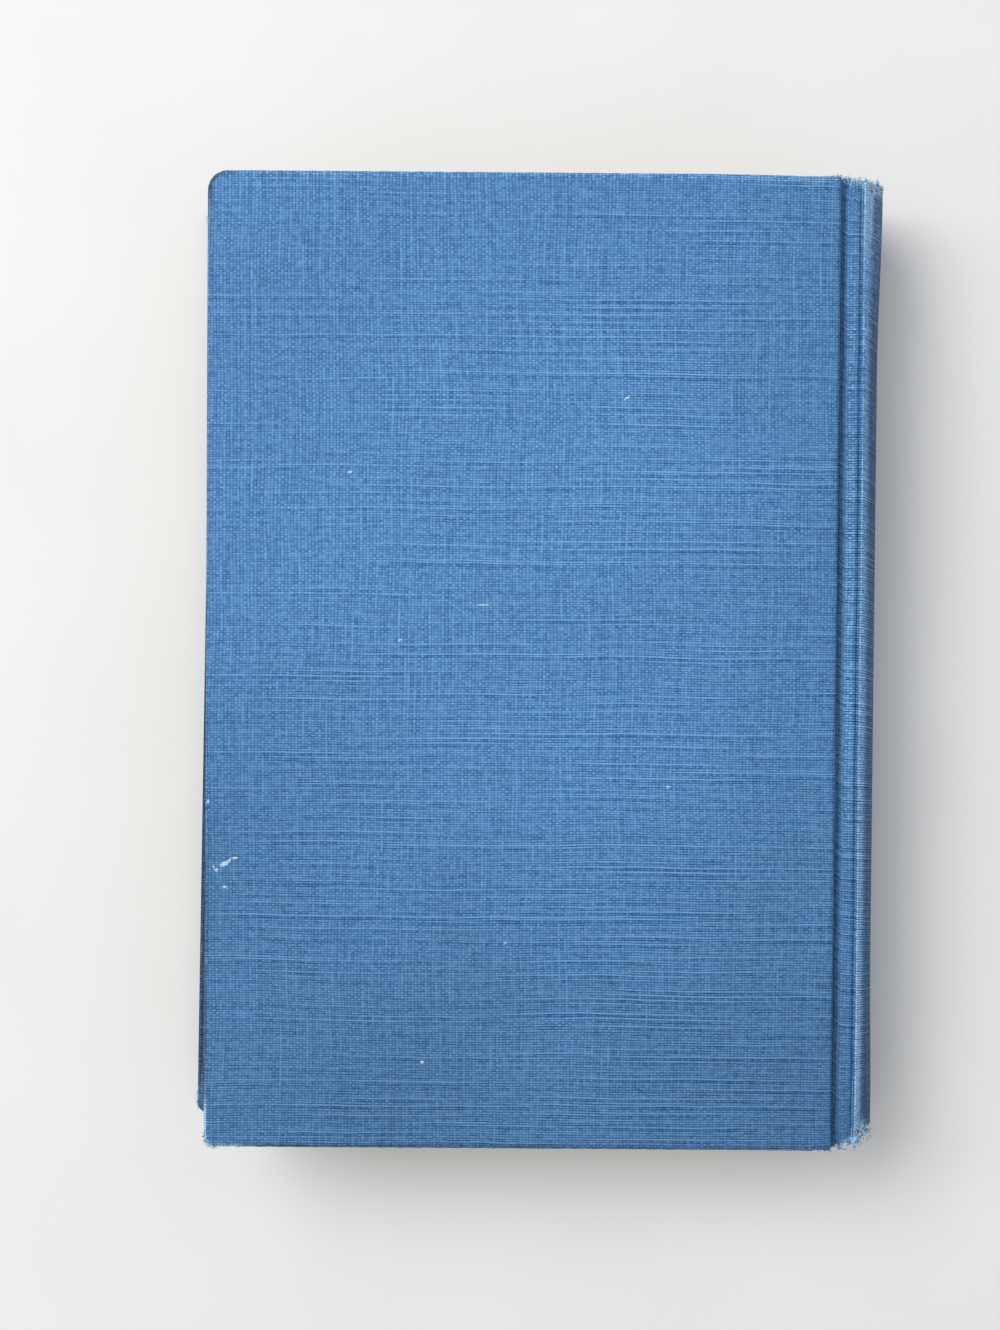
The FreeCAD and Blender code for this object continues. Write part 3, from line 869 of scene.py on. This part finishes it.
def joint_cloth(name, sign, joint_x, centre_height, angle, cover):
    """The cloth in one joint, from the groove beside the board to the crease beside the ridge."""
    line = joint_line(joint_x, centre_height, angle)
    stations, places = [], []
    for point, normal, run in zip(line, normals_of(line), lengths_of(line, joint_x + groove_run)):
        if point.x <= joint_x + split_setback:
            stations.append((mirrored(point, sign), mirrored(normal, sign), point.x - joint_x))
            places.append(run)

    def wear_of(s, y):
        handled_and_lit = smooth(-60, 0, y) * smooth(108, 70, y)
        roll = smooth(1.9, 2.6, s) * smooth(4.1, 3.5, s)
        return min(1.0, (0.06 + 0.27 * handled_and_lit) * roll + 0.9 * end_wear(s, y))

    # Painted shadow in the groove below the board's edge and painted shade in the crease beside the
    # ridge, less where the ends are frayed.
    def painted_shade_of(s, y):
        ends = 1 - 0.7 * end_wear(s, y) * smooth(0.8, 1.6, s)
        return (0.56 * smooth(2.2, 1.3, s) + 0.42 * smooth(3.9, 4.4, s)) * ends + end_darkening(s, y)

    def shape_of(s, y):
        sag = -0.5 * smooth(half_height - 3.5, half_height, abs(y))
        return sag * smooth(0.4, 2.2, s), shortened(s, y)

    def slip_of(s):
        return 0.9 * min(s, 2.1)

    piece = swept_cloth(
        name, stations, section_of(0.68, 0.4), places, cloth_plain, wear_of, painted_shade_of, shape_of, slip_of
    )
    hinge = joint_x + hinge_setback
    height = middle + sign * (cover_top - 0.5)
    start = Vector((hinge + 0.3, 0, height)) * MM
    end = Vector((hinge - 0.5, 0, height)) * MM
    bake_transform(piece)


joints = (
    ("back", 1, back_joint_x, round_height, back_angle),
    ("front", -1, front_joint_x, -round_height, front_angle),
)
for side, *geometry in joints:
    joint_cloth(side + "_joint_cloth", *geometry, side + "_cover")


def past_the_crease(sign, joint_x, centre_height, angle):
    """The points, normals, setbacks and runs of a joint's line from its crease to the spine."""
    line = joint_line(joint_x, centre_height, angle)
    crease = joint_x + split_setback
    return [
        (mirrored(point, sign), mirrored(normal, sign), 0.02 * (point.x - crease), run)
        for point, normal, run in zip(line, normals_of(line), lengths_of(line, joint_x + groove_run))
        if point.x >= crease - joint_step
    ]


# From the crease at the back, over the ridge, round the spine and over the other ridge.
stations, places = [], []
for point, normal, past, run in past_the_crease(*joints[0][1:]):
    stations.append((point, normal, max(0.0, past)))
    places.append(run)
arc_count = 72
for i in range(1, arc_count):
    stations.append((*round_the_back(cloth_radius, i / arc_count), i / arc_count))
    places.append(places[-1] + round_length / arc_count)
for point, normal, past, _ in reversed(past_the_crease(*joints[1][1:])):
    stations.append((point, normal, 1.0 - past))
    places.append(places[-1] + joint_step)


# The pale rubbed band along each ridge is wear and also a painted highlight, widest and palest near the
# head.
def ridge_wear_and_highlight(s, y):
    handled_and_lit = smooth(74, 98, y)
    width = 0.042 + 0.035 * handled_and_lit
    ridge = smooth(0.004, 0.012, s) * smooth(width + 0.03, width - 0.02, s) + smooth(0.95, 0.965, s)
    frayed_end = end_wear(split_setback + s * round_length, y) * smooth(0.75, 0.4, s)
    flecks = 0.4 * smooth(0.0, 0.05, s) * smooth(0.5, 0.2, s) * smooth(50, 85, y)
    ridge *= 0.68 + 0.38 * handled_and_lit + 0.18 * smooth(40, 85, -y)
    return min(1.0, max(ridge, flecks, frayed_end))


# Painted shade round the spine, strongest on the side next to the back ridge, and in the crease; less
# near the head and where the ends are frayed.
def spine_painted_shade(s, y):
    run = split_setback + s * round_length
    ends = 1 - 0.75 * end_wear(run, y) * smooth(13.0, 8.0, run)
    away = smooth(0.04, 0.11, s) * smooth(0.97, 0.9, s)
    crease = 0.45 * smooth(0.009, 0.001, s)
    handled_and_lit = 1 - 0.4 * smooth(60, 98, y) * smooth(0.25, 0.08, s)
    return ((0.42 + 0.4 * smooth(0.5, 0.2, s)) * away * handled_and_lit + crease) * ends + end_darkening(run, y)


def spine_shape(s, y):
    """The flare, and at the tail the corner beside the back ridge worn away."""
    spread = smooth(0.03, 0.16, s) * smooth(0.99, 0.86, s)
    return flare(y) * spread, shortened(split_setback + s * round_length, y)


def spine_slip(s):
    """The threads run slantwise where the cloth was drawn over the ridge."""
    return 0.9 * 2.1 + 0.12 * round_length * min(s, 0.45)


spine_piece = swept_cloth(
    "spine_covering", stations, section_of(1.5, cloth_thickness), places, cloth_plain,
    ridge_wear_and_highlight, spine_painted_shade, spine_shape, spine_slip
)
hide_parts("spine_cloth")
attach(spine_piece, "book_block")


# Round the back: the card that stiffens the case's spine, worn short with the cloth at its
# ends, and the mull, glued over the folds of the leaves. The space between them is hollow.
hollow_depth = 1.6
leaves_radius = strip_radius - strip_thickness - hollow_depth
leaves_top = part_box("back_flyleaf")[0].z / MM - middle
mull_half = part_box("mull")[1].y / MM
fold_layers = 0.3
mull_thickness = 0.25


def flat_section(half, thickness):
    rows = [half * crowded(1 - i / 60) for i in range(121)]
    return [(y, 0.0) for y in rows] + [(-y, -thickness) for y in rows]


def round_piece(name, radius, thickness, half, made, shape_of=as_cut):
    """A layer bent round the spine from one ridge to the other."""
    stations = [(*round_the_back(radius, i / 60), i / 60) for i in range(61)]
    runs = [radius * (back_angle + front_angle) * s for _, _, s in stations]
    return swept_cloth(name, stations, flat_section(half, thickness), runs, made, shape_of=shape_of)


def card_shape(s, y):
    back_from_cloth = math.copysign(0.5, y) * smooth(80, 95, abs(y))
    return 0.0, shortened(split_setback + s * round_length, y) - back_from_cloth


card_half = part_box("spine_strip")[1].y / MM
card_piece = round_piece("spine_card", strip_radius, strip_thickness, card_half, board_grey, card_shape)
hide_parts("spine_strip")
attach(card_piece, "book_block")
mull_radius = leaves_radius + fold_layers + mull_thickness
mull_piece = round_piece("mull_round_the_folds", mull_radius, mull_thickness, mull_half, mull_gauze)
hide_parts("mull")
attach(mull_piece, "book_block")


# Across each joint, under the cloth: the mull and the folded endpaper, which run from the outermost
# fold, down the shoulder and up to the board.
def joint_layer(name, sign, joint_x, centre_height, angle, low, high, half, made, cover):
    out = Vector((math.cos(angle), math.sin(angle)))
    tip = Vector((round_x, centre_height)) + out * leaves_radius
    rise_x = joint_x + 0.3
    rise = ((tip.x - rise_x) ** 2 + (tip.y - leaves_top) ** 2) / (2 * (tip.y - leaves_top))
    first, last = joint_x - 0.15, tip.x - 0.05
    count = 40
    stations, runs = [], []
    for i in range(count + 1):
        x = first + (last - first) * i / count
        across = max(0.0, x - rise_x) / rise
        normal = Vector((-across, math.sqrt(1 - across * across)))
        place = Vector((x, leaves_top + rise * (1 - normal.y))) + normal * high
        stations.append((mirrored(place, sign), mirrored(normal, sign), 0.0))
        runs.append(x)
    piece = swept_cloth(name, stations, flat_section(half, high - low), runs, made)
    fold = Vector((tip.x - 0.1, 0, middle + sign * tip.y))
    start, end = fold * MM, (fold - Vector((1.5, 0, 0))) * MM
    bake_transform(piece)
    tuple(start)
    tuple(end)
    return piece


for side, *geometry in joints:
    cover = side + "_cover"
    crossing = joint_layer(side + "_joint_mull", *geometry, 0.5, 0.68, mull_half, mull_gauze, cover)
    crossing = joint_layer(side + "_joint_paper", *geometry, 0.34, 0.46, leaves_half, end_paper, cover)


# Frayed threads: where the ends of the cloth are worn through, its pale undyed threads stand
# out at the head and the tail of the spine, along the bottom edge and at a few rubbed corners.
frayed, ink = material("frayed_thread", Specular_IOR_Level=0.25)
twist = ink.grain(1.6, 1.6, 1.6, 3.0)
frayed_tone = ink.mix(srgb(72, 116, 156), srgb(214, 228, 230), twist.ramp(0.36, 0.58))
surface(frayed, frayed_tone, twist * 0.1 + 0.75)


rng = random.Random(11)


def aimed(*parts):
    """A direction: each part is a number, or is drawn between two."""
    return Vector([rng.uniform(*part) if isinstance(part, tuple) else part for part in parts])


def thread_line(root, aim, length, curl):
    """The points of one loose thread, which bends a little at each step."""
    steps = max(4, round(length / 0.28))
    place, heading = Vector(root), Vector(aim).normalized()
    line = [place.copy()]
    for _ in range(steps):
        heading += aimed(*[(-curl, curl)] * 3)
        heading.normalize()
        place = place + heading * (length / steps)
        line.append(place.copy())
    return line


def loose_threads(count, grown, shortest, longest, curl=0.35):
    """A number of loose threads: grown gives where one starts and the way it points."""
    lines = []
    for _ in range(count):
        root, aim = grown()
        lines.append(thread_line(root, aim, rng.uniform(shortest, longest), curl))
    return lines


def tube_into(built, line, radius):
    """A thin round thread along a line, tapered at its tip."""
    sides = 5
    previous = None
    for i, place in enumerate(line):
        ahead = line[min(i + 1, len(line) - 1)] - line[max(i - 1, 0)]
        across = ahead.orthogonal().normalized()
        up = ahead.cross(across).normalized()
        size = radius * (1 - 0.6 * (i / (len(line) - 1)) ** 2)
        ring = []
        for k in range(sides):
            a = 2 * math.pi * k / sides
            spoke = across * math.cos(a) + up * math.sin(a)
            ring.append(built.verts.new((place + spoke * size) * MM))
        if previous is None:
            built.faces.new(ring[::-1])
        else:
            shift = min(range(sides), key=lambda j: (ring[j].co - previous[0].co).length)
            ring = ring[shift:] + ring[:shift]
            for k in range(sides):
                j = (k + 1) % sides
                built.faces.new((previous[k], previous[j], ring[j], ring[k]))
        previous = ring
    built.faces.new(previous)


def fray_object(name, lines, body):
    radius = 0.09
    built = bmesh.new()
    for line in lines:
        tube_into(built, line, radius)
    bmesh.ops.recalc_face_normals(built, faces=built.faces)
    mesh = bpy.data.meshes.new(name)
    built.to_mesh(mesh)
    built.free()
    mesh.shade_smooth()
    mesh.materials.append(frayed)
    piece = add_object(name, mesh)
    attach(piece, body)


def spine_place(t, y, above):
    """A place on the spine's cloth: t from the back ridge to the front ridge."""
    grow, end = spine_shape(t, y)
    place, _ = round_the_back(cloth_radius + grow + above, t)
    return Vector((place.x, end, middle + place.y))


def round_the_spine(t, way):
    """The direction along the cloth, round the spine, away from the back ridge or towards it."""
    _, out = round_the_back(1.0, t)
    return Vector((out.y, 0, -out.x)) * way


back_joint_line = joint_line(*joints[0][2:])


def joint_place(run, y, above):
    """A place on the cloth of the back joint, at a distance from the back board's edge."""
    nearest = min(back_joint_line, key=lambda point: abs(point.x - back_joint_x - run))
    return Vector((nearest.x, shortened(run, y), middle + nearest.y + above))


def spine_head():
    t = rng.uniform(-0.005, 0.2)
    root = spine_place(t, half_height - rng.uniform(0.0, 2.4), rng.uniform(0.02, 0.16))
    return root, round_the_spine(t, rng.choice((1, 1, -1))) + aimed(0, (-0.35, 0.35), 0)


def past_the_head():
    root = spine_place(rng.uniform(-0.01, 0.4), half_height - 0.2, rng.uniform(-0.7, 0.05))
    return root, aimed((-0.5, 0.7), 1.0, (-0.3, 0.3))


def joint_head():
    run = rng.uniform(0.7, 4.6)
    root = joint_place(run, half_height - rng.uniform(0.0, 1.0), rng.uniform(-0.3, 0.1))
    return root, aimed((-0.8, 0.8), (0.1, 1.0), (-0.1, 0.3))


head_lines = loose_threads(46, spine_head, 0.8, 2.6, 0.16)
head_lines += loose_threads(60, past_the_head, 0.3, 1.0, 0.3)
head_lines += loose_threads(34, joint_head, 0.4, 1.2, 0.25)
head_lines.append(thread_line((63.9, 100.3, 28.2), (1.45, 1.35, 0.1), 2.3, 0.06))
head_lines.append(thread_line((70.5, 99.6, 28.0), (0.6, 1.25, 0.1), 1.9, 0.08))
fray_object("head_frays", head_lines, "book_block")


def past_the_tail():
    t = abs(rng.gauss(0.0, 0.13))
    root = spine_place(t, -half_height + rng.uniform(0.0, 0.5), rng.uniform(-0.9, 0.05))
    return root, aimed((-0.9, 0.9), -1.0, (-0.5, 0.4))


def spine_tail():
    t = rng.uniform(0.0, 0.16)
    root = spine_place(t, -half_height + rng.uniform(0.0, 3.4 - 12 * t), 0.05)
    return root, round_the_spine(t, rng.choice((1, -1))) + aimed(0, (-0.9, 0.2), 0)


def joint_tail():
    run = rng.uniform(1.2, 4.7)
    root = joint_place(run, -half_height + abs(rng.gauss(0.0, 0.3 * run)), rng.uniform(-0.3, 0.08))
    return root, aimed((-0.8, 1.0), (-1.0, 0.1), (-0.1, 0.2))


def under_the_ridge():
    return spine_place(rng.uniform(0.13, 0.2), -half_height + 1.8, 0.1), aimed((-0.1, 0.3), -1.0, 0.1)


def beside_the_ridge():
    root = spine_place(rng.uniform(0.05, 0.09), -half_height + rng.uniform(-0.2, 0.4), 0.05)
    return root, (1.0, -0.35, -0.1)


tail_lines = loose_threads(60, past_the_tail, 0.4, 1.3, 0.3)
tail_lines += loose_threads(40, spine_tail, 0.7, 2.2, 0.2)
tail_lines += loose_threads(44, joint_tail, 0.5, 1.5, 0.25)
tail_lines += loose_threads(9, under_the_ridge, 2.2, 3.6, 0.1)
tail_lines += loose_threads(12, beside_the_ridge, 1.2, 1.7, 0.05)
fray_object("tail_frays", tail_lines, "book_block")

cover_face = middle + cover_top


def board_tail():
    x = back_joint_x + 0.3 - abs(rng.gauss(0, 2.8))
    root = (x, -half_height + 0.3, cover_face - rng.uniform(0.3, 1.6))
    return root, aimed((-0.8, 0.8), -1.0, (-0.2, 0.6))


def board_head():
    x = back_joint_x + 0.4 - abs(rng.gauss(0, 2.4))
    root = (x, half_height - 0.55, cover_face - rng.uniform(0.1, 1.2))
    return root, aimed((-0.8, 0.8), 1.0, (-0.2, 0.6))


def fore_edge_nick():
    root = (back_edge_x + 0.25, rng.uniform(90.7, 91.9), cover_face - rng.uniform(0.3, 1.4))
    return root, aimed(-1.0, (-0.9, 0.9), (-0.2, 0.4))


def round_the_tail_corner():
    a = rng.uniform(math.pi * 0.9, math.pi * 1.6)
    x = back_edge_x + 2.3 + 2.25 * math.cos(a)
    y = -half_height + 2.3 + 2.25 * math.sin(a)
    root = (x, y, cover_face - rng.uniform(0.2, 1.6))
    return root, (math.cos(a) + rng.uniform(-1, 1), math.sin(a) + rng.uniform(-1, 1), 0.2)


def along_the_tail():
    x = back_edge_x + rng.uniform(1.0, 8.0)
    root = (x, -half_height + 0.25, cover_face - rng.uniform(0.3, 1.6))
    return root, aimed((-1, 1), -1.0, (-0.1, 0.4))


cover_lines = loose_threads(80, board_tail, 0.3, 0.9)
cover_lines += loose_threads(30, board_head, 0.3, 0.7)
cover_lines += loose_threads(14, fore_edge_nick, 0.4, 1.0)
cover_lines += loose_threads(90, round_the_tail_corner, 0.3, 0.75)
cover_lines += loose_threads(50, along_the_tail, 0.25, 0.6)
fray_object("back_cover_frays", cover_lines, "back_cover")


def lower_tail_corner():
    y = -half_height + abs(rng.gauss(0.6, 3.0)) + 0.5
    root = (front_tail_x + 0.3 + 0.5 * smooth(1.8, 0.5, y + half_height), y, rng.uniform(0.9, 3.0))
    return root, aimed(-1.0, (-0.9, 0.9), (-0.1, 0.5))


lower_lines = loose_threads(70, lower_tail_corner, 0.35, 0.9)
fray_object("front_cover_frays", lower_lines, "front_cover")
